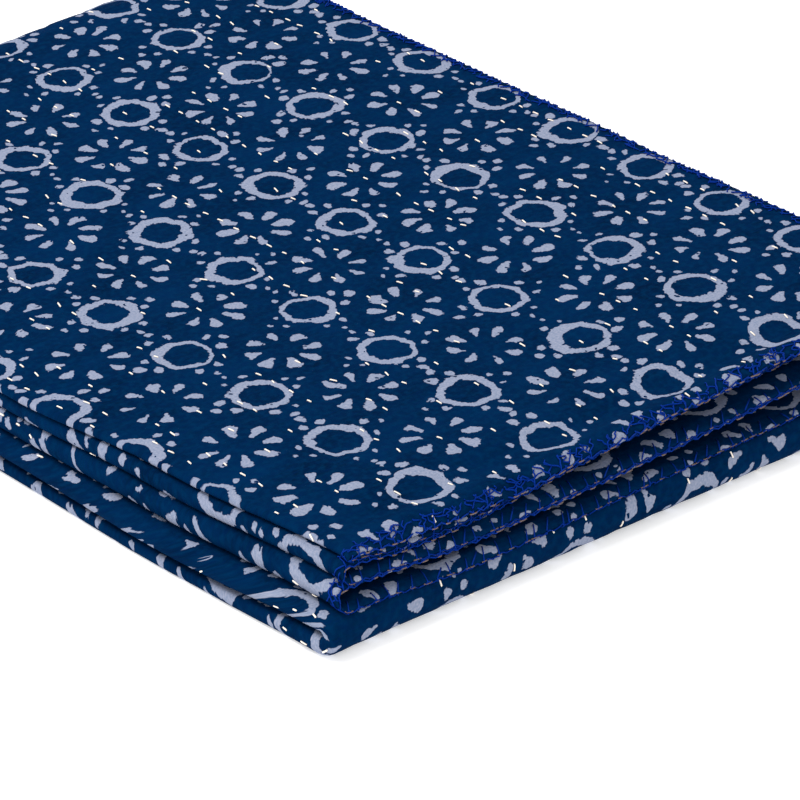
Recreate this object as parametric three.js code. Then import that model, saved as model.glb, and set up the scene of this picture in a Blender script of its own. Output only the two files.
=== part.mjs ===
// A block-printed kantha throw, folded into a pile and lying on a flat surface.
// It is one sheet of two quilted plies, 1270 by 1778 mm. First it is folded back and forth
// in six panels across its longer side, which gives the stack of layers. Then that stack
// is folded in three along the other side, which gives a top, a middle and a bottom arm.
// Units are millimetres, +Z is up, the pile's long side runs along Y, and the front of the
// pile is at low Y. The origin is on the surface, under the middle of the pile.

import * as THREE from 'three';

// Driving dimensions
const SHEET_THICKNESS = 1.0;      // two plies of cotton with quilting stitches through them
const PILE_FRONT = 0;             // where the overlocked edge of the top layer ends
const BACK_TURN_Y = 401;          // centre of the turn that joins the top and middle arms
const FRONT_TURN_Y = 2.6;         // centre of the turn that joins the middle and bottom arms
const BOTTOM_ARM_END = 413;       // overlocked edges of the bottom arm, at the back
const RIGHT_EDGE_X = 286;         // free long edges of layers 1 and 6
const RIGHT_FOLD_INSET = 2.5;     // right folds stop short of the free edges

// The two lower arms are pressed flat by the pile, and their layers are evenly spaced.
const LOWER_ARM_PITCH = 1.2;
const INNERMOST_RADIUS = 0.7;     // centreline radius of the innermost layer in the front turn
const FRONT_TURN_Z = 7.2;         // its outermost layer then lies flat on the surface
const BACK_TURN_Z = 14.7;

// The top arm is looser. Centreline heights of its layers above the back turn's centre.
// Layer 1 is the one on show. Columns: at the left folds, over the middle, at the right.
const TOP_ARM_LAYERS = [
  { layer: 1, left: 16.7, middle: 20.3, right: 24.2 },
  { layer: 2, left: 15.3, middle: 15.9, right: 17.9 },
  { layer: 3, left: 13.5, middle: 14.3, right: 16.4 },
  { layer: 4, left: 8.6, middle: 8.7, right: 13.9 },
  { layer: 5, left: 7.4, middle: 7.5, right: 12.6 },
  { layer: 6, left: 0.7, middle: 0.7, right: 0.7 },
];
const LEFT_SWELL_WIDTH = 35;      // how far in from a left fold its two layers spread
const RIGHT_LIFT_WIDTH = 170;     // how far in from the right side the layers rise
const FOLD_BLUNTNESS = 0.72;      // a slack fold's depth as a share of half its height
const TIGHT_FOLD_DEPTH = 0.75;

// Where each left fold's crown lies at four distances behind the front.
// The folds are named by their arm and the two layers that they join.
const REACH_STATIONS = [0, 100, 170, 410];
const LEFT_REACH = {
  top12: [0, -8, -14.5, -17],
  top34: [-4, -11, -14.5, -16],
  top56: [-9, -14.5, -16, -17],
  lower12: [-9, -14, -16, -17],
  lower34: [-11, -15, -16, -17],
  middle56: [-15.5, -20, -18.5, -17],
  bottom56: [-17, -19.5, -18.5, -17],
};

// The slack fold of layers 5 and 6 in the lower arms: height of layer 5 at the fold,
// outward from the front turn's centre. Below zero it hangs past that centre.
const SLACK_FOLD = { inTurn: 1.0, middle: -1.6, bottom: 3.4 };
const SLACK_FOLD_SETTLES_AT = 62; // distance behind the front where it has its full shape
const SLACK_FOLD_FULL_TO = 250;   // on the middle arm it keeps that shape to here
const SLACK_FOLD_GONE_AT = 330;
const RECESS = 37;                // how far the two tight folds draw back behind it

// Where each layer's edge lies along the front, at three places across the pile, how far it
// droops there, and how far it is out of line at the back end of the bottom arm.
const LAYER_EDGES = [
  { layer: 1, left: 2.3, middle: -0.7, right: -0.1, droop: 3.0, back: 0 },
  { layer: 2, left: 2.3, middle: 4.0, right: 8.0, droop: 3.2, back: 0.9 },
  { layer: 3, left: 2.3, middle: 4.4, right: 8.4, droop: 3.4, back: -0.4 },
  { layer: 4, left: -0.8, middle: -1.7, right: -5.0, droop: 0, back: 0.7 },
  { layer: 5, left: -0.5, middle: -1.4, right: -4.7, droop: 0, back: -0.6 },
  { layer: 6, left: -4.3, middle: -5.2, right: -6.1, droop: 0, back: 0.5 },
];
const EDGES_MIDDLE_X = 110;
const WRAP_SKEW = 8;              // the front turn reaches this much further on the right
const CORNER_SETBACK = 3;         // the top arm's edges draw back at the left corner
const CORNER_WIDTH = 53;
const SHIFTS_FADE_AT = 70;        // behind this distance the layers are in line again

// Unevenness of the pile
const EDGE_DROP_RADIUS = 9;       // the top arm's edges sink over the rounded front turn
const DROOP_WIDTH = 13;           // how far behind its edge a layer starts to droop
const DROOP_FULL = [25, 60];      // it droops most between these places across the pile
const DROOP_GONE = 150;
const PILE_HEIGHT = 36;
const TOP_WAVE = 0.55;            // slow swells over the top sheet
const WAVE_LENGTH = { x: 118, y: 93 };

// Sampling
const SWELL_STEPS = [0, 0.25, 0.55, 1];               // shares of the left swell
const FLAT_STEPS = [0.15, 0.4, 0.7];                  // shares of the rest of a layer
const TIGHT_FOLD_STEPS = 4;
const SLACK_FOLD_STEPS = 6;
const TURN_STEPS = 7;
const TOP_STATIONS = [PILE_FRONT, 2, 4.5, 8, 18, 40, 70, 110, 165, 240, 330, BACK_TURN_Y];
const MIDDLE_STATIONS = [BACK_TURN_Y, 365, 330, 290, 250, 160, 100, 62, 36, 15, FRONT_TURN_Y];
const BOTTOM_STATIONS = [FRONT_TURN_Y, 15, 36, 62, 100, 240, BOTTOM_ARM_END];

const UP = Math.PI / 2;
const LAYERS = TOP_ARM_LAYERS.length;
const { clamp, lerp, smoothstep: ease } = THREE.MathUtils;

// Smooth reading of a row of values at the reach stations.
function readAlong(values, y) {
  const last = REACH_STATIONS.length - 2;
  const next = REACH_STATIONS.findIndex((at) => at > y);
  const i = next < 0 ? last : clamp(next - 1, 0, last);
  return lerp(values[i], values[i + 1], ease(y, REACH_STATIONS[i], REACH_STATIONS[i + 1]));
}

// Reading between the rows of a table by a layer number with a fraction.
function readBetween(rows, column, layer) {
  const i = clamp(Math.floor(layer), 0, LAYERS - 2);
  return lerp(rows[i][column], rows[i + 1][column], layer - i);
}

// Heights of the layers on a lower arm, outward from the front turn: layer 1 is inside.
function lowerArmLayers(y, arm) {
  const rows = Array.from({ length: LAYERS }, (_, i) => {
    const height = INNERMOST_RADIUS + i * LOWER_ARM_PITCH;
    return { left: height, middle: height, right: height };
  });
  const slack = rows[LAYERS - 2];
  const gone = arm === 'middle' ? ease(y, SLACK_FOLD_FULL_TO, SLACK_FOLD_GONE_AT) : 0;
  const settled = ease(y, FRONT_TURN_Y, SLACK_FOLD_SETTLES_AT);
  const hanging = lerp(SLACK_FOLD.inTurn, SLACK_FOLD[arm], settled);
  slack.left = lerp(hanging, slack.middle, gone);
  return rows;
}

// Crowns of the three left folds on each arm.
function leftReach(y, arm) {
  if (arm === 'top') {
    return [LEFT_REACH.top12, LEFT_REACH.top34, LEFT_REACH.top56].map((row) => readAlong(row, y));
  }
  const inLine = arm === 'middle' ? ease(y, SLACK_FOLD_GONE_AT, BACK_TURN_Y) : 0;
  return [
    readAlong(LEFT_REACH.lower12, y) + RECESS * (1 - inLine),
    readAlong(LEFT_REACH.lower34, y) + RECESS * (1 - inLine),
    readAlong(LEFT_REACH[`${arm}56`], y),
  ];
}

// A section holds the layers' rows and the left folds' crowns.
// This is a lower arm's section with its heights measured from the back turn's centre.
function seenFromBackTurn(section) {
  const span = BACK_TURN_Z - FRONT_TURN_Z;
  const flip = (row) => ({ left: span - row.left, middle: span - row.middle, right: span - row.right });
  return { rows: section.rows.map(flip), reach: section.reach };
}

function layerHeight(row, x, leftEnd) {
  const swell = 1 - ease(x, leftEnd, leftEnd + LEFT_SWELL_WIDTH);
  const lift = ease(x, RIGHT_EDGE_X - RIGHT_LIFT_WIDTH, RIGHT_EDGE_X);
  return row.middle + (row.left - row.middle) * swell + (row.right - row.middle) * lift;
}

function foldDepth(section, fold) {
  const [upper, lower] = [section.rows[2 * fold], section.rows[2 * fold + 1]];
  return Math.max((FOLD_BLUNTNESS * Math.abs(upper.left - lower.left)) / 2, TIGHT_FOLD_DEPTH);
}

// One layer's points from its left fold to its right end.
function layerRun(section, i) {
  const fold = Math.floor(i / 2);
  const leftEnd = section.reach[fold] + foldDepth(section, fold);
  const isFree = i === 0 || i === LAYERS - 1;
  const rightEnd = isFree ? RIGHT_EDGE_X : RIGHT_EDGE_X - RIGHT_FOLD_INSET;
  const xs = SWELL_STEPS.map((share) => leftEnd + share * LEFT_SWELL_WIDTH);
  FLAT_STEPS.forEach((share) => xs.push(lerp(leftEnd + LEFT_SWELL_WIDTH, rightEnd, share)));
  xs.push(rightEnd);
  return xs.map((x) => [x, layerHeight(section.rows[i], x, leftEnd), i]);
}

// Half an ellipse from the end of layer i to the next layer, without its end points.
function foldPoints(x, from, to, depth, steps, i) {
  const points = [];
  for (let k = 1; k < steps; k += 1) {
    const angle = (Math.PI * k) / steps;
    const height = (from + to) / 2 + ((from - to) / 2) * Math.cos(angle);
    points.push([x + depth * Math.sin(angle), height, i + k / steps]);
  }
  return points;
}

// The centreline of one section, from the free edge of layer 1 to that of layer 6.
// Each point has its x, its height and its layer number, counted from 0.
function sectionCentreline(section) {
  const points = [];
  for (let i = 0; i < LAYERS; i += 1) {
    const endsLeft = i % 2 === 0;
    const run = layerRun(section, i);
    points.push(...(endsLeft ? run.reverse() : run));
    if (i < LAYERS - 1) {
      const fold = Math.floor(i / 2);
      const [x, height] = points[points.length - 1];
      const next = endsLeft ? section.rows[i + 1].left : section.rows[i + 1].right;
      const depth = endsLeft ? -foldDepth(section, fold) : TIGHT_FOLD_DEPTH;
      const steps = endsLeft && fold > 0 ? SLACK_FOLD_STEPS : TIGHT_FOLD_STEPS;
      points.push(...foldPoints(x, height, next, depth, steps, i));
    }
  }
  return points;
}

// Offsets the centreline to both sides and closes it into the section's outline.
// Layer 1 is outside in the back turn and inside in the front one, so the sides swap.
function sectionOutline(section, layerOneOutside) {
  const centreline = sectionCentreline(section);
  const half = ((layerOneOutside ? 1 : -1) * SHEET_THICKNESS) / 2;
  const sides = [[], []];
  centreline.forEach(([x, height, layer], i) => {
    const before = centreline[Math.max(i - 1, 0)];
    const after = centreline[Math.min(i + 1, centreline.length - 1)];
    const along = new THREE.Vector2(after[0] - before[0], after[1] - before[1]).normalize();
    sides[0].push([x + half * along.y, height - half * along.x, layer]);
    sides[1].push([x - half * along.y, height + half * along.x, layer]);
  });
  return sides[0].concat(sides[1].reverse());
}

// Stations through a turn from one section to another, without its two ends. Each point of
// an outline has its own heights along Y and Z, so a turn may be flatter below than above.
function turnStations(arm, from, to, layerOneOutside, direction) {
  const [y, z] = arm === 'back turn' ? [BACK_TURN_Y, BACK_TURN_Z] : [FRONT_TURN_Y, FRONT_TURN_Z];
  const stations = [];
  for (let k = 1; k < TURN_STEPS; k += 1) {
    const share = k / TURN_STEPS;
    const reach = from.reach.map((crown, i) => lerp(crown, to.reach[i], share));
    const above = sectionOutline({ rows: from.rows, reach }, layerOneOutside);
    const below = sectionOutline({ rows: to.rows, reach }, layerOneOutside);
    const outline = above.map(([x, height, layer], i) => {
      const [xBelow, heightBelow] = below[i];
      return [lerp(x, xBelow, share), height, layer, share < 0.5 ? height : heightBelow];
    });
    stations.push({ arm, y, z, angle: UP + direction * Math.PI * share, outline });
  }
  return stations;
}

// The stations of the sweep: each has its arm, its outline, the centre that the heights
// are measured from, and the angle of outward in the plane of Y and Z.
function allStations() {
  const top = (y) => ({ rows: TOP_ARM_LAYERS, reach: leftReach(y, 'top') });
  const lower = (y, arm) => ({ rows: lowerArmLayers(y, arm), reach: leftReach(y, arm) });
  const underBackTurn = seenFromBackTurn(lower(BACK_TURN_Y, 'middle'));
  const [frontAbove, frontBelow] = [lower(FRONT_TURN_Y, 'middle'), lower(FRONT_TURN_Y, 'bottom')];
  const lowerStation = (y, arm, angle) => (
    { arm, y, z: FRONT_TURN_Z, angle, outline: sectionOutline(lower(y, arm), false) }
  );
  return [
    ...TOP_STATIONS.map((y) => (
      { arm: 'top', y, z: BACK_TURN_Z, angle: UP, outline: sectionOutline(top(y), true) }
    )),
    ...turnStations('back turn', top(BACK_TURN_Y), underBackTurn, true, -1),
    ...MIDDLE_STATIONS.map((y) => lowerStation(y, 'middle', UP)),
    ...turnStations('front turn', frontAbove, frontBelow, false, 1),
    ...BOTTOM_STATIONS.map((y) => lowerStation(y, 'bottom', -UP)),
  ];
}

// How far a point is moved along Y, because the layers don't end or turn in one line.
function shiftAlongY(arm, y, x, layer) {
  const across = clamp(x / RIGHT_EDGE_X, 0, 1);
  const nearFront = 1 - ease(y, PILE_FRONT, SHIFTS_FADE_AT);
  if (arm === 'top') {
    const [left, middle, right] = ['left', 'middle', 'right'].map((column) => (
      readBetween(LAYER_EDGES, column, layer)
    ));
    const toMiddle = clamp(x / EDGES_MIDDLE_X, 0, 1);
    const toRight = clamp((x - EDGES_MIDDLE_X) / (RIGHT_EDGE_X - EDGES_MIDDLE_X), 0, 1);
    const setback = CORNER_SETBACK * (1 - ease(x, LEFT_REACH.top34[0], CORNER_WIDTH));
    return nearFront * (left + (middle - left) * toMiddle + (right - middle) * toRight + setback);
  }
  const atEnd = arm === 'bottom' && y === BOTTOM_ARM_END;
  const outOfLine = atEnd ? readBetween(LAYER_EDGES, 'back', layer) : 0;
  return outOfLine - nearFront * WRAP_SKEW * across;
}

// How far the top arm's edges sink over the front turn, and how far the upper ones droop.
// A layer whose edge stays back behind that of layer 1 sinks less.
function edgeDrop(arm, y, x, layer) {
  if (arm !== 'top') {
    return 0;
  }
  const turnY = FRONT_TURN_Y + shiftAlongY('front turn', FRONT_TURN_Y, x);
  const setBack = Math.max(shiftAlongY(arm, y, x, layer) - shiftAlongY(arm, y, x, 0), 0);
  const over = Math.max(turnY - y - shiftAlongY(arm, y, x, LAYERS - 1) - setBack, 0);
  const drop = EDGE_DROP_RADIUS - Math.sqrt(EDGE_DROP_RADIUS ** 2 - over ** 2);
  const atEdge = 1 - ease(y, PILE_FRONT, DROOP_WIDTH);
  const across = ease(x, 0, DROOP_FULL[0]) * (1 - ease(x, DROOP_FULL[1], DROOP_GONE));
  return drop + readBetween(LAYER_EDGES, 'droop', layer) * atEdge * across;
}

// Slow swells that grow from nothing at the surface to their full height on top.
function swell(x, y, z) {
  const wave = Math.sin(x / WAVE_LENGTH.x + y / WAVE_LENGTH.y) * Math.cos(y / WAVE_LENGTH.y - 1);
  return (z / PILE_HEIGHT) * TOP_WAVE * wave;
}

function placePoint(item, [x, height, layer, heightInZ = height]) {
  const shift = shiftAlongY(item.arm, item.y, x, layer);
  const y = item.y + height * Math.cos(item.angle) + shift;
  const z = item.z + heightInZ * Math.sin(item.angle) - edgeDrop(item.arm, item.y, x, layer);
  return [x, y, Math.max(z + swell(x, y, z), 0)];
}

// Sweeps the outline through all stations and closes both ends.
function throwGeometry() {
  const stations = allStations();
  const count = stations[0].outline.length;
  const lastStation = stations.length - 1;
  const positions = stations.flatMap((item) => item.outline.flatMap((point) => placePoint(item, point)));
  const triangles = [];
  for (let s = 0; s < lastStation; s += 1) {
    for (let i = 0; i < count; i += 1) {
      const j = (i + 1) % count;
      const [a, b, c, d] = [s * count + i, s * count + j, (s + 1) * count + j, (s + 1) * count + i];
      triangles.push(a, c, b, a, d, c);
    }
  }
  for (let i = 0; i < count / 2 - 1; i += 1) {
    const [a, b, c, d] = [i, i + 1, count - 2 - i, count - 1 - i];
    const [e, f, g, h] = [a, b, c, d].map((corner) => lastStation * count + corner);
    triangles.push(a, b, c, a, c, d, e, g, f, e, h, g);
  }
  const geometry = new THREE.BufferGeometry();
  geometry.setAttribute('position', new THREE.Float32BufferAttribute(positions, 3));
  geometry.setIndex(triangles);
  geometry.computeBoundingBox();
  const middle = geometry.boundingBox.getCenter(new THREE.Vector3());
  geometry.translate(-middle.x, -middle.y, 0);
  geometry.computeVertexNormals();
  return geometry;
}

function throwCloth() {
  const indigo = new THREE.MeshStandardMaterial({ color: 0x00305c, roughness: 0.9, metalness: 0 });
  const cloth = new THREE.Mesh(throwGeometry(), indigo);
  cloth.name = 'throw_cloth';
  return cloth;
}

const group = new THREE.Group();
group.add(throwCloth());

export default group;
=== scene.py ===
"""A block-printed kantha throw, folded into a pile: its cloth, sewing, light and camera.

The cloth repeats the folds of the CAD solid at a finer step, as a thin closed sheet with its
own cloth coordinates. The print, dye and weave are drawn from those coordinates. The running
stitches and the overlocking round the cut edges are threads with a form of their own.

Sizes are in millimetres until a mesh is made, because that is how the cloth was measured.
Pile coordinates: X is 0 at the left end of the top layer's front edge and runs along that
edge, Y runs away from the front, Z is up from the floor.
"""

import math

import bpy
import numpy as np
from mathutils import Matrix, Vector, noise


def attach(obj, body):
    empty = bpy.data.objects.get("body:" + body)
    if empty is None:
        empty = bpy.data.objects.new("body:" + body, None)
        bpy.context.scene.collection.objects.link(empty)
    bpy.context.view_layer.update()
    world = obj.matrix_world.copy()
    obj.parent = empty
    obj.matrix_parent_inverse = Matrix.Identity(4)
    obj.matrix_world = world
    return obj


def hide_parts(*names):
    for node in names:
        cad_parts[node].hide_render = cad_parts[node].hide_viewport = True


# The fold. The CAD solid has the same sizes, but its left folds are a little flatter and its
# right folds a little deeper.
SHEET_THICKNESS = 1.0
BACK_TURN_Y = 401.0
FRONT_TURN_Y = 2.6
BOTTOM_ARM_END = 413.0
RIGHT_EDGE_X = 286.0
RIGHT_FOLD_INSET = 2.5
LOWER_ARM_PITCH = 1.2
INNERMOST_RADIUS = 0.7
FRONT_TURN_Z = 7.2
BACK_TURN_Z = 14.7

# Heights of the top arm's layers above the back turn's centre, layer 1 first.
# Columns: at the left folds, over the middle, at the right.
TOP_ARM_LAYERS = np.array([
    [16.7, 20.3, 24.2],
    [15.3, 15.9, 17.9],
    [13.5, 14.3, 16.4],
    [8.6, 8.7, 13.9],
    [7.4, 7.5, 12.6],
    [0.7, 0.7, 0.7],
])
LEFT_SWELL_WIDTH = 35.0
RIGHT_LIFT_WIDTH = 170.0
FOLD_BLUNTNESS = 0.9
TIGHT_FOLD_DEPTH = 0.66

REACH_STATIONS = [0, 100, 170, 410]
LEFT_REACH = {
    "top": [[0, -8, -14.5, -17], [-4, -11, -14.5, -16], [-9, -14.5, -16, -17]],
    "middle": [[-9, -14, -16, -17], [-11, -15, -16, -17], [-15.5, -20, -18.5, -17]],
    "bottom": [[-9, -14, -16, -17], [-11, -15, -16, -17], [-17, -19.5, -18.5, -17]],
}
SLACK_FOLD = {"in_turn": 1.0, "middle": -1.6, "bottom": 3.4}
SLACK_FOLD_SETTLES_AT = 62.0
SLACK_FOLD_FULL_TO = 250.0
SLACK_FOLD_GONE_AT = 330.0
RECESS = 37.0

# Where each layer's edge lies along the front, at three places across the pile, how far it
# droops there, and how far it is out of line at the back end of the bottom arm.
EDGES_AT = [0, 110, 286]
LAYER_EDGES = [
    [2.3, -0.7, -0.1],
    [2.3, 4.0, 8.0],
    [2.3, 4.4, 8.4],
    [-0.8, -1.7, -5.0],
    [-0.5, -1.4, -4.7],
    [-4.3, -5.2, -6.1],
]
EDGE_DROOPS = [3.0, 3.2, 3.4, 0, 0, 0]
EDGES_BACK = [0, 0.9, -0.4, 0.7, -0.6, 0.5]
WRAP_SKEW = 8.0
CORNER_SETBACK = 3.0
CORNER_WIDTH = 53.0
SHIFTS_FADE_AT = 70.0
EDGE_DROP_RADIUS = 9.0
DROOP_WIDTH = 13.0
DROOP_FULL = (25.0, 60.0)
DROOP_GONE = 150.0
PILE_HEIGHT = 36.0
TOP_WAVE = 0.55
WAVE_LENGTH = (118.0, 93.0)

# Finer sampling than the solid has
LAYERS = 6
SWELL_STEPS = 8
FLAT_STEPS = [84, 26, 20, 20, 26, 60]
TIGHT_FOLD_STEPS = 6
LEFT_FOLD_STEPS = [8, 8, 12]
TURN_STEPS = 12
TOP_STATIONS = np.concatenate([[0, 1.2], np.arange(2.5, 40, 2.5), np.arange(40, 401, 5.3), [401]])
MIDDLE_STATIONS = [401, 380, 360, 330, 310, 290, 250, 200, 150, 100, 80, 62, 48, 36, 26, 15, 8, 2.6]
BOTTOM_STATIONS = [2.6, 8, 15, 26, 36, 48, 62, 80, 100, 150, 240, 330, 400, 413]

# Relief of the quilted cloth
WAVE_HEIGHT = 0.75          # slow unevenness of the top layer
WAVE_SCALES = (38.0, 17.0)
SMALL_WAVES = 0.4
WAVES_START = 45.0          # nothing at the left folds, and full from here
EDGE_RIPPLE = 0.6           # the front edges aren't straight either
RIPPLE_SCALE = 21.0
RIPPLE_FADES_IN = 30.0
RIPPLE_STARTS = (4.0, 50.0)  # from the left
# Ridge and trough along the front edge. Columns: distance behind the edge, width, height.
EDGE_WAVES = [(5.5, 3.5, 1.2), (15.0, 6.5, -2.1)]
EDGE_WAVES_START = (2.0, 25.0)
WAVED_LAYERS = 3            # so many layers follow them at the left, and layer 1 alone at the right
WAVED_LAYERS_END = (60.0, 140.0)
# Creases of the top layer. Columns: x and y of both ends, width, height.
CREASES = [
    (14.9, 32.3, 28.6, 22.0, 2.6, -0.7),
    (54.1, 23.7, 77.8, 19.8, 2.6, -0.8),
    (41.0, 58.0, 58.0, 54.0, 4.5, -0.6),
]
# Fine creases all over the quilted face. A stretch is across and along the cloth.
CREASE_DEPTH = 0.5
CREASE_SCALE = 15.0
CREASE_STRETCH = (0.55, 1.5)
CREASE_SHARE = 0.45
CREASE_SHARPNESS = 6
FINE_CREASE_SCALE = 6.5
FINE_CREASE_STRETCH = (0.6, 1.0)
FINE_CREASE_SHARE = 0.4
PUCKER_DEPTH = 0.35         # the cloth is drawn in along each row of stitches
PUCKER_WIDTH = 2.6
PUCKER_BEAT = 0.4           # it varies by this share along the row, either way
CROWN_RELIEF = 0.6          # how much of the relief the fold crowns show
RELIEF_FADES = (0.4, 0.75)  # along the back turn, before the cloth gets between other layers
STITCHES_SHOW = 0.25        # least relief at which a place counts as seen

# Sewing
STITCH_ROWS = 17.0          # mean distance of the rows of running stitches
FIRST_STITCH_ROW = 0.55     # share of that distance from the free long edge
STITCH_ROW_WANDER = 5.2
STITCH_PITCH = 9.4
STITCHES_MISSING = 0.55     # share of the places where the thread stays below the cloth
STITCH_WANDER = 0.7
STITCH_LEAN = 0.16
CROWN_ROW_LAYER = 0.3       # one more row runs along the first left fold
STITCH_MARGINS = (2.0, 4.0)  # how near a stitch may be to the ends of its row, before it wanders
STITCH_LENGTH = 2.5
STITCH_LENGTHS = (0.75, 1.3)  # range, as a share of that
STITCH_POINTS = np.array([-0.5, -0.42, -0.2, 0.2, 0.42, 0.5])  # share of its length
STITCH_WIDTH = 0.7
STITCH_HEIGHT = 0.45
DASH_SIDES = 6
DASH_TIP = 0.25             # size of a stitch's tips, as a share of its middle
DASH_DIVE = 0.25            # how deep the tips go
DASH_LIFT = 0.45            # height of a stitch's middle line, as a share of STITCH_HEIGHT
OVERLOCK_PITCH = 5.6
OVERLOCK_DEPTH = 4.9
OVERLOCK_THREAD = 0.34      # radius
OVERLOCK_WANDER = 0.7
OVERLOCK_SLACK = 1.0        # how far each thread bows out of line
OVERLOCK_BENDS = 2.6        # half waves along each thread
OVERLOCK_STEPS = 9          # points along each thread on the printed face
OVERLOCK_TANGLES = 0.5      # share of the loops with a thread lying across them
LOOP_TURNS = (0.2, 0.8)     # where a loop goes over the rim, in pitches from its start
LOOP_ENDS = (0.7, 1.3)      # where it ends
LOOP_DEPTHS = (0.62, 1.15)  # as a share of OVERLOCK_DEPTH
LOOP_LIFTS = (0.3, 0.7)     # height over the printed face
RETURN_LIFTS = (0.3, 0.6)
WRAP_ANGLES = (48, 0, -48)  # of the loop round the rim
RIM_REACH = {"loop": 0.32, "chain": 0.45, "dash": 0.62}  # how far out of the rim each lies
RIM_DEPTHS = (0.05, 1.5)    # the rim's direction is taken between these depths
THREAD_SIDES = 3
NEEDLE_THREAD = 0.306       # radius
RIM_DASH_LENGTH = 3.0
RIM_DASHES = 0.6            # share of the loops that show the needle thread
STRIP_ROWS = (14, 10)       # rows of the mesh that an overlocked strip takes, at ends and sides

# The print, as measured on the cloth
PRINT_PITCH = (57.2, 43.0)  # across and along the rows of rings
PRINT_START = (12.0, 17.0)  # first ring from the free long edge and from the front edge
# How far the print has drifted, across and along, by the front turn
PRINT_DRIFT = (7.7, -0.5)
DRIFT_FROM_TO = (430.0, 780.0)
PRINT_WARP = 5.0
ROW_STAGGER = 7.0           # range of the shifts of each row of rings along itself
RING_SIZES = 1.2            # range of the rings' radii
RING_OFF_CENTRE = 2.4
RING_DENTS = 2.8
MARKS_UNEVEN = 3.0
ROUGH_EDGE = 2.2
HOLES_START = 0.68
HOLE_DEPTH = -40.0
# Noise that makes the print irregular, in waves for each mm of cloth
PRINT_NOISE = {"warp": 0.11, "uneven": 0.045, "dents": 0.16, "rough": 0.55, "holes": 0.31}
MARK_EDGE = (-0.12, 0.16)   # the dye fades to the resist across this depth of a mark's edge

# Camera, from the perspective of the pile's edges
CAMERA_PLACE = (-960.95, -1096.2, 879.49)
CAMERA_AZIMUTH = -41.77
CAMERA_ELEVATION = 28.34
CAMERA_LENS = 225.0

# Stage
FLOOR_HALF = 4000
FLOOR_GLOW = 0.45
ROOM_LIGHT = 0.75


def ease(value, start, end):
    t = np.clip((np.asarray(value, dtype=float) - start) / (end - start), 0, 1)
    return t * t * (3 - 2 * t)


def wander(points, scale, seed):
    """Smooth seeded noise between about -1 and 1 at rows of two numbers."""
    spread = np.asarray(points, dtype=float) / scale
    flat = spread.reshape(-1, spread.shape[-1])
    values = [noise.noise(Vector((p[0], p[1], seed * 7.31))) for p in flat]
    return np.array(values).reshape(spread.shape[:-1])


# The fold's form


def left_reach(y, arm):
    """Crowns of the three left folds at distance y behind the front."""
    i = int(np.clip(np.searchsorted(REACH_STATIONS, y, side="right") - 1, 0, 2))
    share = ease(y, REACH_STATIONS[i], REACH_STATIONS[i + 1])
    crowns = np.array([row[i] + (row[i + 1] - row[i]) * share for row in LEFT_REACH[arm]])
    if arm != "top":
        in_line = ease(y, SLACK_FOLD_GONE_AT, BACK_TURN_Y) if arm == "middle" else 0.0
        crowns[:2] += RECESS * (1 - in_line)
    return crowns


def lower_arm_layers(y, arm):
    heights = INNERMOST_RADIUS + LOWER_ARM_PITCH * np.arange(LAYERS)
    rows = np.repeat(heights[:, None], 3, axis=1)
    gone = ease(y, SLACK_FOLD_FULL_TO, SLACK_FOLD_GONE_AT) if arm == "middle" else 0.0
    settled = ease(y, FRONT_TURN_Y, SLACK_FOLD_SETTLES_AT)
    hanging = SLACK_FOLD["in_turn"] + (SLACK_FOLD[arm] - SLACK_FOLD["in_turn"]) * settled
    rows[4, 0] = hanging + (rows[4, 1] - hanging) * gone
    return rows


def layer_height(row, x, left_end):
    swell = 1 - ease(x, left_end, left_end + LEFT_SWELL_WIDTH)
    lift = ease(x, RIGHT_EDGE_X - RIGHT_LIFT_WIDTH, RIGHT_EDGE_X)
    return row[1] + (row[0] - row[1]) * swell + (row[2] - row[1]) * lift


def fold_depth(rows, fold):
    apart = abs(rows[2 * fold, 0] - rows[2 * fold + 1, 0])
    return max(FOLD_BLUNTNESS * apart / 2, TIGHT_FOLD_DEPTH)


def centreline(rows, crowns):
    """The section's middle line, from the free edge of layer 1 to that of layer 6.

    Columns: x, height, layer number from 0.
    """
    parts = []
    for i in range(LAYERS):
        ends_left = i % 2 == 0
        left_end = crowns[i // 2] + fold_depth(rows, i // 2)
        right_end = RIGHT_EDGE_X - (0 if i in (0, LAYERS - 1) else RIGHT_FOLD_INSET)
        swell_end = left_end + LEFT_SWELL_WIDTH
        xs = np.concatenate([
            np.linspace(left_end, swell_end, SWELL_STEPS, endpoint=False),
            np.linspace(swell_end, right_end, FLAT_STEPS[i]),
        ])
        run = np.stack([xs, layer_height(rows[i], xs, left_end), np.full(len(xs), float(i))], 1)
        parts.append(run[::-1] if ends_left else run)
        if i < LAYERS - 1:
            x, height, _ = parts[-1][-1]
            following = rows[i + 1, 0] if ends_left else rows[i + 1, 2]
            depth = -fold_depth(rows, i // 2) if ends_left else TIGHT_FOLD_DEPTH
            steps = LEFT_FOLD_STEPS[i // 2] if ends_left else TIGHT_FOLD_STEPS
            angle = np.pi * np.arange(1, steps) / steps
            parts.append(np.stack([
                x + depth * np.sin(angle),
                (height + following) / 2 + (height - following) / 2 * np.cos(angle),
                i + np.arange(1, steps) / steps,
            ], 1))
    return np.concatenate(parts)


def offset_line(line, distance):
    """The line moved sideways in the section's plane; distance is one number or one a point."""
    along = np.empty((len(line), 2))
    along[1:-1] = line[2:, :2] - line[:-2, :2]
    along[0] = line[1, :2] - line[0, :2]
    along[-1] = line[-1, :2] - line[-2, :2]
    along /= np.linalg.norm(along, axis=1)[:, None]
    moved = line.copy()
    moved[:, 0] += distance * along[:, 1]
    moved[:, 1] -= distance * along[:, 0]
    return moved


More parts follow.
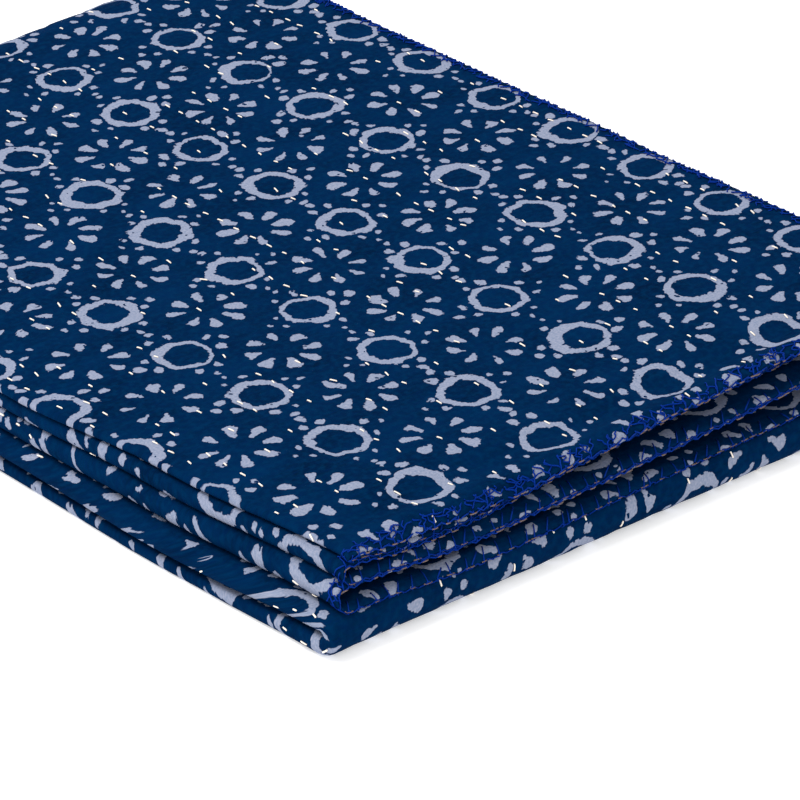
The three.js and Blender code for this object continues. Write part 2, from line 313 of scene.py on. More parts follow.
def stations():
    """Every station of the sweep, from the free end of the top arm to that of the bottom arm.

    Each has its arm, y, z, angle and share of the turn, and its section before and after
    mid-turn.
    """
    up = math.pi / 2
    items = []

    def top(y):
        return TOP_ARM_LAYERS, left_reach(y, "top")

    def lower(y, arm):
        return lower_arm_layers(y, arm), left_reach(y, arm)

    def turn(arm, y, z, above, below, direction):
        for k in range(1, TURN_STEPS):
            share = k / TURN_STEPS
            crowns = above[1] + (below[1] - above[1]) * share
            items.append((arm, y, z, up + direction * math.pi * share, share,
                          (above[0], crowns), (below[0], crowns)))

    for y in TOP_STATIONS:
        items.append(("top", y, BACK_TURN_Z, up, 0.0, top(y), top(y)))
    rows, crowns = lower(BACK_TURN_Y, "middle")
    under = (BACK_TURN_Z - FRONT_TURN_Z - rows, crowns)
    turn("back turn", BACK_TURN_Y, BACK_TURN_Z, top(BACK_TURN_Y), under, -1)
    for y in MIDDLE_STATIONS:
        items.append(("middle", y, FRONT_TURN_Z, up, 0.0, lower(y, "middle"), lower(y, "middle")))
    turn("front turn", FRONT_TURN_Y, FRONT_TURN_Z,
         lower(FRONT_TURN_Y, "middle"), lower(FRONT_TURN_Y, "bottom"), 1)
    for y in BOTTOM_STATIONS:
        items.append(("bottom", y, FRONT_TURN_Z, -up, 0.0, lower(y, "bottom"), lower(y, "bottom")))
    return items


def shift_along_y(arm, y, x, layer):
    across = np.clip(x / RIGHT_EDGE_X, 0, 1)
    near_front = 1 - ease(y, 0, SHIFTS_FADE_AT)
    numbers = np.arange(LAYERS)
    if arm == "top":
        at_places = [np.interp(layer, numbers, column) for column in np.transpose(LAYER_EDGES)]
        left, middle, right = at_places
        to_middle = np.clip(x / EDGES_AT[1], 0, 1)
        to_right = np.clip((x - EDGES_AT[1]) / (EDGES_AT[2] - EDGES_AT[1]), 0, 1)
        setback = CORNER_SETBACK * (1 - ease(x, LEFT_REACH["top"][1][0], CORNER_WIDTH))
        edge = left + (middle - left) * to_middle + (right - middle) * to_right
        return near_front * (edge + setback)
    at_end = arm == "bottom" and y == BOTTOM_ARM_END
    out_of_line = np.interp(layer, numbers, EDGES_BACK) if at_end else 0.0
    return out_of_line - near_front * WRAP_SKEW * across


def edge_drop(arm, y, x, layer):
    if arm != "top":
        return 0.0
    turn_y = FRONT_TURN_Y - (1 - ease(FRONT_TURN_Y, 0, SHIFTS_FADE_AT)) * WRAP_SKEW * np.clip(
        x / RIGHT_EDGE_X, 0, 1)
    first = shift_along_y(arm, y, x, np.zeros_like(x))
    last = shift_along_y(arm, y, x, np.full_like(x, LAYERS - 1))
    set_back = np.maximum(shift_along_y(arm, y, x, layer) - first, 0)
    over = np.maximum(turn_y - y - last - set_back, 0)
    drop = EDGE_DROP_RADIUS - np.sqrt(EDGE_DROP_RADIUS ** 2 - over ** 2)
    at_edge = 1 - ease(y, 0, DROOP_WIDTH)
    across = ease(x, 0, DROOP_FULL[0]) * (1 - ease(x, DROOP_FULL[1], DROOP_GONE))
    return drop + np.interp(layer, np.arange(LAYERS), EDGE_DROOPS) * at_edge * across


def slow_swell(x, y, z):
    wave = np.sin(x / WAVE_LENGTH[0] + y / WAVE_LENGTH[1]) * np.cos(y / WAVE_LENGTH[1] - 1)
    return z / PILE_HEIGHT * TOP_WAVE * wave


def creasing(x, y):
    """Height of the creases at places of one station."""
    rise = np.zeros_like(x)
    for from_x, from_y, to_x, to_y, width, height in CREASES:
        run = np.array([to_x - from_x, to_y - from_y])
        share = np.clip(((x - from_x) * run[0] + (y - from_y) * run[1]) / (run @ run), 0, 1)
        apart = np.hypot(x - from_x - share * run[0], y - from_y - share * run[1])
        rise += height * np.exp(-(apart / width) ** 2)
    return rise


def unevenness(arm, y, x, layer):
    """How far a layer of the top arm lies above its even height, both faces alike."""
    if arm != "top":
        return 0.0
    place = np.stack([x, np.full_like(x, y)], 1)
    room = ease(x, 0, WAVES_START) * np.clip(1 - layer, 0, 1)
    long_scale, short_scale = WAVE_SCALES
    waves = WAVE_HEIGHT * (wander(place, long_scale, 1) + SMALL_WAVES * wander(place, short_scale, 2))
    pair = np.floor((layer + 1) / 2)
    ripple = np.zeros_like(x)
    for number in np.unique(pair):
        of_pair = pair == number
        ripple[of_pair] = wander(place[of_pair], RIPPLE_SCALE, 10 + int(number))
    not_last = np.clip(LAYERS - 1 - layer, 0, 1)
    at_front = math.exp(-y / RIPPLE_FADES_IN) * ease(x, *RIPPLE_STARTS) * not_last
    wave = sum(height * math.exp(-((y - middle) / width) ** 2)
               for middle, width, height in EDGE_WAVES)
    top_only = np.clip(1 - layer, 0, 1)
    under = np.clip(WAVED_LAYERS - layer, 0, 1) - top_only
    follows = ease(x, *EDGE_WAVES_START) * (top_only + under * (1 - ease(x, *WAVED_LAYERS_END)))
    return room * waves + EDGE_RIPPLE * at_front * ripple + wave * follows + top_only * creasing(x, y)


def place(item, line, later_line):
    """Points of one station's line in pile coordinates."""
    arm, y, z, angle, share = item[:5]
    x = line[:, 0] + (later_line[:, 0] - line[:, 0]) * share
    layer = line[:, 2]
    height_in_z = line[:, 1] if share < 0.5 else later_line[:, 1]
    shift = shift_along_y(arm, y, x, layer)
    along = y + line[:, 1] * math.cos(angle) + shift
    level = z + height_in_z * math.sin(angle) - edge_drop(arm, y, x, layer)
    level = level + slow_swell(x, along, level) + unevenness(arm, y, x, layer)
    return np.stack([x, along, np.maximum(level, 0)], 1)


def lengths(points, axis):
    """Length along an axis of a grid of points, from its first row."""
    steps = np.linalg.norm(np.diff(points, axis=axis), axis=2)
    start = np.zeros_like(np.take(steps, [0], axis=axis))
    return np.concatenate([start, np.cumsum(steps, axis=axis)], axis=axis)


def exposure(item, layer):
    """How much of the quilting's relief a point of the printed face shows."""
    arm, share = item[0], item[4]
    on_top = np.clip(1 - layer, 0, 1) * (1 - ease(share, *RELIEF_FADES)) * (arm in ("top", "back turn"))
    on_wrap = np.clip(layer - (LAYERS - 2), 0, 1) * math.sin(math.pi * share) * (arm == "front turn")
    on_crown = CROWN_RELIEF * (np.mod(layer, 2) < 1) * np.sin(np.pi * np.mod(layer, 1))
    return np.maximum(np.maximum(on_top, on_wrap), on_crown)


def row_places(end):
    """Where the rows of running stitches lie across the cloth, from its free long edge."""
    count = int(end / STITCH_ROWS)
    even = STITCH_ROWS * (np.arange(count) + FIRST_STITCH_ROW)
    drift = [noise.noise(Vector((3.7 * k, 1.3, 5.0))) for k in range(count)]
    return even + STITCH_ROW_WANDER * np.array(drift)


def relief(u, v):
    """Height of the quilted face over its lowest places, between 0 and 1 mm or so."""
    rows = row_places(u.max())
    apart = np.abs(u[..., None] - rows).min(-1)
    beat = 1 - PUCKER_BEAT + PUCKER_BEAT * np.cos(2 * np.pi * v / STITCH_PITCH)
    drawn_in = np.exp(-(apart / PUCKER_WIDTH) ** 2) * beat
    lengths_of_cloth = np.stack([u, v], -1)
    creases = 1 - np.abs(wander(lengths_of_cloth * CREASE_STRETCH, CREASE_SCALE, 3))
    fine = 0.5 + 0.5 * wander(lengths_of_cloth * FINE_CREASE_STRETCH, FINE_CREASE_SCALE, 4)
    creased = CREASE_SHARE * creases ** CREASE_SHARPNESS + FINE_CREASE_SHARE * fine
    return CREASE_DEPTH * creased + PUCKER_DEPTH * (1 - drawn_in)


class Sheet:
    """The folded cloth as two grids of points, rows along the section, with its lengths."""

    def __init__(self):
        items = stations()
        lines = [(centreline(*item[5]), centreline(*item[6])) for item in items]
        self.layer = lines[0][0][:, 2]
        middle = np.array([place(item, *pair) for item, pair in zip(items, lines)])
        self.u = lengths(middle, 1)
        self.v = lengths(middle, 0)
        rise = relief(self.u, self.v)
        faces = []
        for side in (1, -1):
            face = []
            for s, (item, pair) in enumerate(zip(items, lines)):
                arm = item[0]
                one_outside = 1 if arm in ("top", "back turn") else -1
                extra = exposure(item, self.layer) * rise[s] if side > 0 else 0.0
                distance = one_outside * side * (SHEET_THICKNESS / 2 + extra)
                face.append(place(item, *(offset_line(line, distance) for line in pair)))
            faces.append(np.array(face))
        self.front, self.back = faces
        self.exposed = np.array([exposure(item, self.layer) for item in items])

    def move(self, step):
        self.front = self.front + step
        self.back = self.back + step


def mesh_object(name, points, faces, material):
    mesh = bpy.data.meshes.new(name)
    faces = [tuple(face) for face in faces]
    mesh.from_pydata((np.asarray(points) / 1000).tolist(), [], faces)
    mesh.polygons.foreach_set("use_smooth", [True] * len(mesh.polygons))
    mesh.materials.append(material)
    mesh.update()
    piece = bpy.data.objects.new(name, mesh)
    bpy.context.scene.collection.objects.link(piece)
    return piece


def cloth_piece(sheet, material):
    rows, count = sheet.u.shape
    points = np.concatenate([sheet.front.reshape(-1, 3), sheet.back.reshape(-1, 3)])
    grid = np.arange(rows * count).reshape(rows, count)
    a, b, c, d = grid[:-1, :-1], grid[:-1, 1:], grid[1:, 1:], grid[1:, :-1]
    front = np.stack([a, d, c, b], -1).reshape(-1, 4)
    back = front[:, ::-1] + rows * count
    rim = np.concatenate([grid[0, :], grid[1:, -1], grid[-1, -2::-1], grid[-2:0:-1, 0]])
    after = np.roll(rim, -1)
    edge = np.stack([rim, after, after + rows * count, rim + rows * count], 1)
    piece = mesh_object("throw_sheet", points, np.concatenate([front, back, edge]), material)
    mesh = piece.data
    coordinates = np.stack([sheet.u, sheet.v], -1).reshape(-1, 2) / 1000
    coordinates = np.concatenate([coordinates, coordinates])
    corners = np.empty(len(mesh.loops), dtype=np.int32)
    mesh.loops.foreach_get("vertex_index", corners)
    layer = mesh.uv_layers.new(name="cloth_lengths")
    layer.data.foreach_set("uv", coordinates[corners].astype(np.float32).ravel())
    return piece


# Threads


def at_length(line, along, where):
    """Points of a line at the lengths asked for."""
    return np.stack([np.interp(where, along, line[:, k]) for k in range(3)], -1)


def tube_faces(count, steps, sides):
    """Faces of many closed tubes, whose points are in rings: quads round each, and its ends."""
    grid = np.arange(count * steps * sides).reshape(count, steps, sides)
    after = np.roll(grid, -1, axis=2)
    quads = np.stack([grid[:, :-1], after[:, :-1], after[:, 1:], grid[:, 1:]], -1).reshape(-1, 4)
    ends = np.concatenate([grid[:, 0, ::-1], grid[:, -1]])
    return quads, ends


def tubes(paths, radius):
    """Closed tubes of one radius along many paths of the same number of points."""
    paths = np.asarray(paths)
    count, steps, _ = paths.shape
    along = np.gradient(paths, axis=1)
    along /= np.linalg.norm(along, axis=2, keepdims=True) + 1e-9
    aside = np.cross(along, [0.31, 0.17, 0.93])
    aside /= np.linalg.norm(aside, axis=2, keepdims=True) + 1e-9
    upward = np.cross(along, aside)
    turn = 2 * np.pi * np.arange(THREAD_SIDES) / THREAD_SIDES
    ring = (aside[:, :, None] * np.cos(turn)[:, None] + upward[:, :, None] * np.sin(turn)[:, None])
    points = paths[:, :, None] + radius * ring
    return points.reshape(-1, 3), *tube_faces(count, steps, THREAD_SIDES)


def join(parts):
    """Several sets of points and faces as one."""
    points, faces, start = [], [], 0
    for part in parts:
        points.append(part[0])
        for group in part[1:]:
            faces.extend((group + start).tolist())
        start += len(part[0])
    return np.concatenate(points), faces


def running_stitches(sheet, material):
    """Dashes of thread along the rows, where the printed face can be seen."""
    rng = np.random.default_rng(11)
    rows, count = sheet.u.shape
    normals = face_normals(sheet.front)
    visible = sheet.exposed > STITCHES_SHOW
    paths, lifts = [], []
    mean_u = sheet.u.mean(0)
    along_first_fold = np.interp(CROWN_ROW_LAYER, sheet.layer, mean_u)
    for u in [*row_places(mean_u[-1]), along_first_fold]:
        place_in_row = np.array([np.interp(u, sheet.u[s], np.arange(count)) for s in range(rows)])
        i = np.minimum(place_in_row.astype(int), count - 2)
        share = (place_in_row - i)[:, None]
        s = np.arange(rows)
        line = sheet.front[s, i] * (1 - share) + sheet.front[s, i + 1] * share
        normal = normals[s, i]
        seen = visible[s, i]
        along = np.concatenate([[0], np.cumsum(np.linalg.norm(np.diff(line, axis=0), axis=1))])
        first = rng.uniform(STITCH_MARGINS[0], STITCH_PITCH)
        at = np.arange(first, along[-1] - STITCH_MARGINS[1], STITCH_PITCH)
        at = at + rng.normal(0, STITCH_WANDER, len(at))
        for middle in at:
            hidden = not seen[min(np.searchsorted(along, middle), rows - 1)]
            if hidden or rng.random() < STITCHES_MISSING:
                continue
            length = STITCH_LENGTH * rng.uniform(*STITCH_LENGTHS)
            t = middle + length * STITCH_POINTS
            path = at_length(line, along, t)
            lean = rng.normal(0, STITCH_LEAN)
            aside = np.cross(path[-1] - path[0], at_length(normal, along, middle))
            aside /= np.linalg.norm(aside) + 1e-9
            path = path + aside * ((t - middle) * lean)[:, None]
            paths.append(path)
            lifts.append(at_length(normal, along, t))
    points, faces = join([dashes(np.array(paths), np.array(lifts), STITCH_WIDTH, STITCH_HEIGHT)])
    points[:, 2] = np.maximum(points[:, 2], 0)
    return mesh_object("running_stitches", points, faces, material)


def dashes(paths, normals, width, height):
    """Flattened thread lying on a face: thin at both ends, where it dives into the cloth."""
    count, steps, _ = paths.shape
    along = np.gradient(paths, axis=1)
    aside = np.cross(along, normals)
    aside /= np.linalg.norm(aside, axis=2, keepdims=True) + 1e-9
    round_ends = np.sqrt(np.clip(1 - np.linspace(-1, 1, steps) ** 4, 0, 1))
    swell = round_ends * (1 - DASH_TIP) + DASH_TIP
    turn = 2 * np.pi * np.arange(DASH_SIDES) / DASH_SIDES
    wide = (width / 2) * swell[:, None] * np.cos(turn)
    lifted = DASH_LIFT + (1 - DASH_LIFT) * np.sin(turn)
    high = height * swell[:, None] * lifted - DASH_DIVE * (1 - swell[:, None])
    moved = aside[:, :, None] * wide[:, :, None] + normals[:, :, None] * high[:, :, None]
    points = paths[:, :, None] + moved
    return points.reshape(-1, 3), *tube_faces(count, steps, DASH_SIDES)


def face_normals(face):
    """Outward normals of the printed face."""
    along = np.gradient(face, axis=0)
    across = np.gradient(face, axis=1)
    normal = np.cross(along, across)
    return normal / (np.linalg.norm(normal, axis=2, keepdims=True) + 1e-9)


class Strip:
    """The cloth next to one of its four edges: rows go inward from the edge."""

    def __init__(self, front, back, inward, along):
        self.faces = (front, back)
        self.inward = inward
        self.along = along
        self.columns = np.arange(len(along))

    def at(self, side, t, depth, lift):
        """A point t mm along the edge and depth mm in from it, lifted off one of the faces."""
        place_in_row = np.interp(t, self.along, self.columns)
        i = min(int(place_in_row), len(self.along) - 2)
        share = place_in_row - i
        own, other = self.faces[side], self.faces[1 - side]
        line = own[:, i] * (1 - share) + own[:, i + 1] * share
        far = other[:, i] * (1 - share) + other[:, i + 1] * share
        inward = self.inward[:, i] * (1 - share) + self.inward[:, i + 1] * share
        point = at_length(line, inward, depth)
        outward = point - at_length(far, inward, depth)
        return point + outward / np.linalg.norm(outward) * lift

    def rim(self, t, angle, reach):
        """A point off the cut rim: angle 90 is over the printed face, 0 straight out."""
        at_rim, behind = RIM_DEPTHS
        top, bottom = self.at(0, t, at_rim, 0), self.at(1, t, at_rim, 0)
        up = (top - bottom) / 2
        out = (top + bottom) / 2 - (self.at(0, t, behind, 0) + self.at(1, t, behind, 0)) / 2
        out /= np.linalg.norm(out)
        size = np.linalg.norm(up) + reach
        turn = math.radians(angle)
        upward = up / np.linalg.norm(up)
        return (top + bottom) / 2 + out * reach * math.cos(turn) + upward * size * math.sin(turn)


def edge_strips(sheet):
    """The four cut edges of the throw: front, back, and the two free long ones."""
    near, side = STRIP_ROWS
    front, back = sheet.front.transpose(1, 0, 2), sheet.back.transpose(1, 0, 2)
    v, u = sheet.v, sheet.u
    return [
        Strip(sheet.front[:near], sheet.back[:near], v[:near], u[0]),
        Strip(sheet.front[:-near:-1], sheet.back[:-near:-1], v[-1] - v[:-near:-1], u[-1]),
        Strip(front[:side], back[:side], u[:, :side].T, v[:, 0]),
        Strip(front[:-side:-1], back[:-side:-1], (u[:, -1:] - u[:, :-side:-1]).T, v[:, -1]),
    ]


def slack(share):
    """An S-shaped bow that is nothing at both ends of a thread."""
    return math.sin(OVERLOCK_BENDS * math.pi * share) * math.sin(math.pi * share)


def overlock_paths(sheet):
    """Loops over both faces and round the rim, the chain along it, and the needle's dashes."""
    rng = np.random.default_rng(5)
    loops, returns, chain, needle = [], [], [], []
    for strip in edge_strips(sheet):
        end = strip.along[-1] - OVERLOCK_PITCH
        for start in np.arange(1.0, end, OVERLOCK_PITCH):
            t = start + rng.normal(0, OVERLOCK_WANDER)
            turn = t + OVERLOCK_PITCH * rng.uniform(*LOOP_TURNS)
            last = t + OVERLOCK_PITCH * rng.uniform(*LOOP_ENDS)
            deep = OVERLOCK_DEPTH * rng.uniform(*LOOP_DEPTHS)
            high = rng.uniform(*LOOP_LIFTS)
            shares = np.linspace(0, 0.95, OVERLOCK_STEPS)
            bow, bow_back = rng.normal(0, OVERLOCK_SLACK, 2)
            down = [strip.at(0, t + (turn - t) * k + bow * slack(k), deep * (1 - k), high * (0.4 + k))
                    for k in shares]
            wrap = [strip.rim(turn, angle, RIM_REACH["loop"]) for angle in WRAP_ANGLES]
            under = [strip.at(1, turn + (last - turn) * (1 - k), deep * (1 - k), 0.2)
                     for k in (0.95, 0.5, 0)]
            loops.append(down + wrap + under)
            back = rng.uniform(*RETURN_LIFTS)
            returns.append([strip.at(0, turn + (last - turn) * k + bow_back * slack(k),
                                     deep * k * 0.97 + 0.2, back) for k in shares])
            if rng.random() < OVERLOCK_TANGLES:
                ends = rng.uniform(0.3, deep, 2)
                lying = [ends[0] + (ends[1] - ends[0]) * k + bow * slack(k) for k in shares]
                returns.append([
                    strip.at(0, t + OVERLOCK_PITCH * (1.4 * k - 0.4), max(depth, 0.2), back + 0.2)
                    for k, depth in zip(shares, lying)
                ])
            bend = rng.uniform(20, 80)
            chain.append([strip.rim(t + OVERLOCK_PITCH * k, angle, RIM_REACH["chain"])
                          for k, angle in ((-0.1, bend), (0.3, 15), (0.65, -30), (1.1, bend))])
            if rng.random() > RIM_DASHES:
                continue
            half = RIM_DASH_LENGTH * rng.uniform(0.25, 0.6)
            low = rng.uniform(-25, 5)
            needle.append([strip.rim(turn + half * k, low, RIM_REACH["dash"] - 0.2 * abs(k))
                           for k in (-1, -0.4, 0.4, 1)])
    return loops, returns, chain, needle


def overlocking(sheet, blue, tan):
    loops, returns, chain, needle = overlock_paths(sheet)
    pieces = []
    groups = [("overlock_loops", [loops, returns], blue, OVERLOCK_THREAD),
              ("overlock_chain", [chain], blue, OVERLOCK_THREAD),
              ("overlock_needle_thread", [needle], tan, NEEDLE_THREAD)]
    for name, paths, material, radius in groups:
        points, faces = join([tubes(group, radius) for group in paths])
        points[:, 2] = np.maximum(points[:, 2], 0)
        pieces.append(mesh_object(name, points, faces, material))
    return pieces


# Materials


class Nodes:
    """Short forms for the shader nodes used here. A value is a number or another's output."""

    def __init__(self, name, roughness, shine):
        self.material = bpy.data.materials.new(name)
        self.material.use_nodes = True
        self.tree = self.material.node_tree
        self.shader = self.tree.nodes["Principled BSDF"]
        self.shader.inputs["Roughness"].default_value = roughness
        self.shader.inputs["Specular IOR Level"].default_value = shine

    def put(self, socket, value):
        if isinstance(value, bpy.types.NodeSocket):
            self.tree.links.new(value, socket)
        else:
            socket.default_value = value

    def math(self, operation, *values):
        node = self.tree.nodes.new("ShaderNodeMath")
        node.operation = operation
        for socket, value in zip(node.inputs, values):
            self.put(socket, value)
        return node.outputs[0]

    def vector(self, operation, *values, scale=None):
        node = self.tree.nodes.new("ShaderNodeVectorMath")
        node.operation = operation
        for socket, value in zip(node.inputs, values):
            self.put(socket, value)
        if scale is not None:
            self.put(node.inputs["Scale"], scale)
        return node.outputs["Value" if operation in ("LENGTH", "DISTANCE", "DOT_PRODUCT") else "Vector"]

    def noise(self, place, scale, detail=1.0, colour=False):
        node = self.tree.nodes.new("ShaderNodeTexNoise")
        self.put(node.inputs["Vector"], place)
        node.inputs["Scale"].default_value = scale
        node.inputs["Detail"].default_value = detail
        return node.outputs["Color" if colour else "Fac"]

    def hashed(self, place):
        node = self.tree.nodes.new("ShaderNodeTexWhiteNoise")
        node.noise_dimensions = "3D"
        self.put(node.inputs["Vector"], place)
        return node.outputs["Color"]

    def parts(self, place):
        node = self.tree.nodes.new("ShaderNodeSeparateXYZ")
        self.put(node.inputs[0], place)
        return node.outputs[0], node.outputs[1], node.outputs[2]

    def joined(self, x, y):
        node = self.tree.nodes.new("ShaderNodeCombineXYZ")
        self.put(node.inputs[0], x)
        self.put(node.inputs[1], y)
        return node.outputs[0]

    def ramp(self, value, low, high, to_low, to_high):
        node = self.tree.nodes.new("ShaderNodeMapRange")
        for socket, number in zip(node.inputs, (value, low, high, to_low, to_high)):
            self.put(socket, number)
        return node.outputs[0]

    def mix(self, share, first, second):
        node = self.tree.nodes.new("ShaderNodeMix")
        node.data_type = "RGBA"
        self.put(node.inputs["Factor"], share)
        self.put(node.inputs["A"], first)
        self.put(node.inputs["B"], second)
        return node.outputs["Result"]

    def bump(self, height, distance, strength=1.0, under=None):
        node = self.tree.nodes.new("ShaderNodeBump")
        node.inputs["Strength"].default_value = strength
        node.inputs["Distance"].default_value = distance
        self.put(node.inputs["Height"], height)
        if under is not None:
            self.put(node.inputs["Normal"], under)
        return node.outputs[0]


def colour(red, green, blue):
    """A colour of 0 to 255 as shown on a screen, for a shader."""
    def linear(value):
        share = value / 255
        return share / 12.92 if share <= 0.04045 else ((share + 0.055) / 1.055) ** 2.4
    return (linear(red), linear(green), linear(blue), 1.0)


# Marks of the print. Sizes are from the middle of a ring or a flower, and a petal's turn is in
# degrees.
RING = {"outer": 11.6, "inner": 7.8}
DOTS = [((14.3, 4.2, 0.0), 1.8), ((19.5, 0.0, 0.0), 1.7)]
PRINT_THINNER = 0.22
PETAL = {"tip": 8.4, "round": 12.4, "narrow": 1.15, "wide": 2.5, "turn": 22.5}


def print_cell(nodes, place, half):
    """The place within its cell of the print, and a random colour for that cell."""
    x, y, _ = nodes.parts(place)
    across, along = PRINT_PITCH
    x = nodes.math("ADD", x, half * across)
    column = nodes.math("FLOOR", nodes.math("ADD", nodes.math("DIVIDE", x, across), 0.5))
    shift, _, _ = nodes.parts(nodes.hashed(nodes.joined(column, 0.0)))
    staggered = nodes.math("MULTIPLY_ADD", shift, ROW_STAGGER, half * along - ROW_STAGGER / 2)
    y = nodes.math("ADD", y, staggered)
    row = nodes.math("FLOOR", nodes.math("ADD", nodes.math("DIVIDE", y, along), 0.5))
    x = nodes.math("SUBTRACT", x, nodes.math("MULTIPLY", column, across))
    y = nodes.math("SUBTRACT", y, nodes.math("MULTIPLY", row, along))
    return nodes.joined(x, y), nodes.hashed(nodes.joined(column, row))


def folded_eighth(nodes, place):
    """The same place in the first eighth of a turn, so that one motif stands for eight."""
    x, y, _ = nodes.parts(nodes.vector("ABSOLUTE", place))
    return nodes.math("MAXIMUM", x, y), nodes.math("MINIMUM", x, y)


def printed(nodes, length):
    """How far inside a printed mark a place of the cloth is, in mm; below zero is outside."""
    coarse = nodes.noise(length, PRINT_NOISE["warp"], colour=True)
    coarse = nodes.vector("SUBTRACT", coarse, (0.5, 0.5, 0.5))
    place = nodes.vector("ADD", length, nodes.vector("SCALE", coarse, scale=PRINT_WARP))
    place = nodes.vector("SUBTRACT", place, (*PRINT_START, 0.0))
    _, from_front, _ = nodes.parts(length)
    drifted = nodes.ramp(from_front, *DRIFT_FROM_TO, 0.0, 1.0)
    place = nodes.vector("SUBTRACT", place, nodes.vector("SCALE", (*PRINT_DRIFT, 0.0), scale=drifted))
    uneven = nodes.math("SUBTRACT", nodes.noise(length, PRINT_NOISE["uneven"]), 0.5)
    at, chance = print_cell(nodes, place, 0.0)
    to_side = nodes.vector("SUBTRACT", chance, (0.5, 0.5, 0.5))
    off_centre = nodes.vector("SCALE", to_side, scale=RING_OFF_CENTRE)
    _, _, luck = nodes.parts(chance)
    dents = nodes.noise(length, PRINT_NOISE["dents"])
    dented = nodes.math("MULTIPLY_ADD", dents, RING_DENTS, -RING_DENTS / 2)
    size = nodes.math("MULTIPLY_ADD", luck, RING_SIZES, RING["outer"] - RING_SIZES / 2)
    reach = nodes.math("ADD", size, dented)
    outer = nodes.math("SUBTRACT", reach, nodes.vector("LENGTH", at))
    hole = nodes.vector("LENGTH", nodes.vector("ADD", at, off_centre))
    inner = nodes.math("SUBTRACT", nodes.math("SUBTRACT", hole, RING["inner"]), dented)
    marks = [nodes.math("MINIMUM", outer, inner)]
    high, low = folded_eighth(nodes, at)
    eighth = nodes.joined(high, low)
    for centre, radius in DOTS:
        size = nodes.math("MULTIPLY_ADD", uneven, MARKS_UNEVEN, radius)
        marks.append(nodes.math("SUBTRACT", size, nodes.vector("DISTANCE", eighth, centre)))
    at, _ = print_cell(nodes, place, 0.5)
    high, low = folded_eighth(nodes, at)
    turn = math.radians(PETAL["turn"])
    axis = nodes.vector("DOT_PRODUCT", nodes.joined(high, low), (math.cos(turn), math.sin(turn), 0))
    aside = nodes.vector("DOT_PRODUCT", nodes.joined(high, low), (math.sin(turn), -math.cos(turn), 0))
    width = nodes.ramp(axis, PETAL["tip"], PETAL["round"], PETAL["narrow"], PETAL["wide"])
    width = nodes.math("MULTIPLY_ADD", uneven, MARKS_UNEVEN, width)
    beyond = nodes.math("MAXIMUM", nodes.math("SUBTRACT", axis, PETAL["round"]), 0.0)
    before = nodes.math("MAXIMUM", nodes.math("SUBTRACT", PETAL["tip"], axis), 0.0)
    apart = nodes.vector("LENGTH", nodes.joined(nodes.math("ADD", beyond, before), aside))
    marks.append(nodes.math("SUBTRACT", width, apart))
    inside = marks[0]
    for mark in marks[1:]:
        inside = nodes.math("MAXIMUM", inside, mark)
    fine = nodes.math("SUBTRACT", nodes.noise(length, PRINT_NOISE["rough"], 2.0), 0.5)
    inside = nodes.math("MULTIPLY_ADD", fine, ROUGH_EDGE, inside)
    spots = nodes.noise(length, PRINT_NOISE["holes"])
    holes = nodes.math("MAXIMUM", nodes.math("SUBTRACT", spots, HOLES_START), 0.0)
    inside = nodes.math("SUBTRACT", inside, PRINT_THINNER)
    return nodes.math("MULTIPLY_ADD", holes, HOLE_DEPTH, inside)


def cloth_material():
    nodes = Nodes("indigo_block_print", 0.9, 0.01)
    lengths_map = nodes.tree.nodes.new("ShaderNodeUVMap")
    lengths_map.uv_map = "cloth_lengths"
    length = nodes.vector("SCALE", lengths_map.outputs[0], scale=1000.0)
    inside = printed(nodes, length)
    share = nodes.ramp(inside, *MARK_EDGE, 0.0, 1.0)
    patchy = nodes.noise(nodes.vector("MULTIPLY", length, (0.03, 0.05, 0.0)), 1.0, 3.0)
    streaks = nodes.noise(nodes.vector("MULTIPLY", length, (0.22, 1.6, 0.0)), 1.0, 2.0)
    dye = nodes.mix(nodes.ramp(patchy, 0.3, 0.7, 0.0, 1.0), colour(0, 24, 51), colour(0, 37, 74))
    dye = nodes.mix(nodes.ramp(streaks, 0.35, 0.75, 0.0, 0.5), dye, colour(0, 32, 82))
    mottled = nodes.noise(length, 0.4, 4.0)
    dye = nodes.mix(nodes.ramp(mottled, 0.42, 0.68, 0.0, 0.6), dye, colour(0, 45, 82))
    grain = nodes.noise(length, 1.1, 2.0)
    grained = nodes.ramp(grain, 0.3, 0.7, 0.0, 1.0)
    resist = nodes.mix(grained, colour(123, 136, 162), colour(153, 158, 179))
    nodes.put(nodes.shader.inputs["Base Color"], nodes.mix(share, dye, resist))
    crease = nodes.noise(nodes.vector("MULTIPLY", length, (0.05, 0.14, 0.0)), 1.0, 3.0)
    relief_bump = nodes.bump(crease, 0.0012)
    weave = nodes.noise(length, 1.6, 1.0)
    nodes.put(nodes.shader.inputs["Normal"], nodes.bump(weave, 0.00012, 0.8, relief_bump))
    return nodes.material


def thread_material(name, base, roughness=0.6):
    nodes = Nodes(name, roughness, 0.05)
    nodes.put(nodes.shader.inputs["Base Color"], base)
    return nodes.material


# The stage


def floor_piece():
    material = thread_material("pale_floor", (0.8, 0.8, 0.8, 1.0), 0.9)
    shader = material.node_tree.nodes["Principled BSDF"]
    shader.inputs["Emission Color"].default_value = (1, 1, 1, 1)
    shader.inputs["Emission Strength"].default_value = FLOOR_GLOW
    corners = FLOOR_HALF * np.array([[-1, -1, 0], [1, -1, 0], [1, 1, 0], [-1, 1, 0]])
    return mesh_object("floor", corners, [(0, 1, 2, 3)], material)


def area_light(name, place, size, power):
    data = bpy.data.lights.new(name, "AREA")
    data.size = size
    data.energy = power
    light = bpy.data.objects.new(name, data)
    light.location = place
    light.rotation_euler = (-Vector(place)).to_track_quat("-Z", "Y").to_euler()
    bpy.context.scene.collection.objects.link(light)


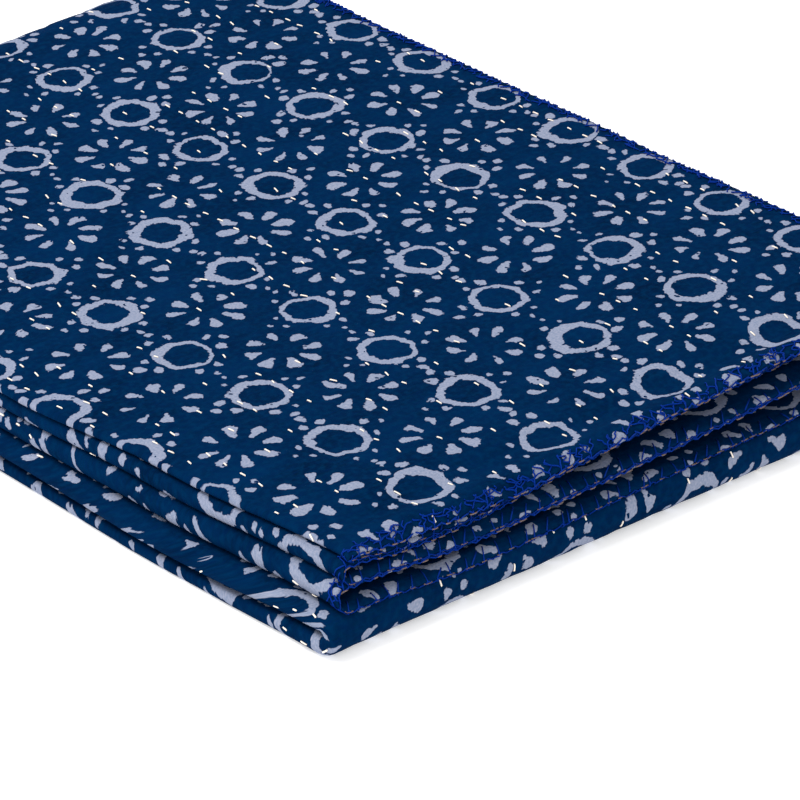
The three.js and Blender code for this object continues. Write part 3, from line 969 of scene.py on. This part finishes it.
def studio_light():
    bpy.context.scene.view_settings.view_transform = "Standard"
    world = bpy.data.worlds.new("white_room")
    world.use_nodes = True
    world.node_tree.nodes["Background"].inputs[0].default_value = (1, 1, 1, 1)
    world.node_tree.nodes["Background"].inputs[1].default_value = ROOM_LIGHT
    bpy.context.scene.world = world
    area_light("key", (-0.5, 0.6, 1.6), 1.0, 20)
    area_light("fill", (-1.2, -1.0, 0.9), 1.2, 6)


def camera(pile_middle):
    azimuth, elevation = math.radians(CAMERA_AZIMUTH), math.radians(CAMERA_ELEVATION)
    right = Vector((math.cos(azimuth), math.sin(azimuth), 0))
    back = Vector((math.sin(azimuth) * math.cos(elevation), -math.cos(azimuth) * math.cos(elevation),
                   math.sin(elevation)))
    up = back.cross(right)
    data = bpy.data.cameras.new("camera")
    data.lens = CAMERA_LENS
    data.sensor_width = 36.0
    data.clip_end = 20.0
    eye = bpy.data.objects.new("camera", data)
    spot = (Vector(CAMERA_PLACE) - Vector(pile_middle)) / 1000
    turn = Matrix((right, up, back)).transposed()
    eye.matrix_world = Matrix.Translation(spot) @ turn.to_4x4()
    bpy.context.scene.collection.objects.link(eye)
    bpy.context.scene.camera = eye


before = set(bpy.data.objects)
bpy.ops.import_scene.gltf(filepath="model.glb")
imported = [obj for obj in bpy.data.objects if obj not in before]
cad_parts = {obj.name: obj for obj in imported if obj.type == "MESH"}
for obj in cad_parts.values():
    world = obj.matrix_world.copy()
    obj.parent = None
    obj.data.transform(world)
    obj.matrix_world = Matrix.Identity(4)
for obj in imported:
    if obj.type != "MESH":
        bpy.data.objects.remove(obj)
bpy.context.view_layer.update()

folded = Sheet()
everything = np.concatenate([folded.front.reshape(-1, 3), folded.back.reshape(-1, 3)])
middle = (everything.min(0) + everything.max(0)) / 2
middle[2] = 0.0
folded.move(-middle)

blue_thread = thread_material("blue_overlock_thread", colour(1, 46, 136))
tan_thread = thread_material("tan_needle_thread", colour(122, 106, 100))
cream_thread = thread_material("cream_running_thread", colour(255, 244, 230))

throw = cloth_piece(folded, cloth_material())
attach(throw, "root")
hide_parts("throw_cloth")

stitches = running_stitches(folded, cream_thread)
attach(stitches, "root")
rims = overlocking(folded, blue_thread, tan_thread)
for rim in rims:
    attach(rim, "root")

floor = floor_piece()
studio_light()
camera(middle)
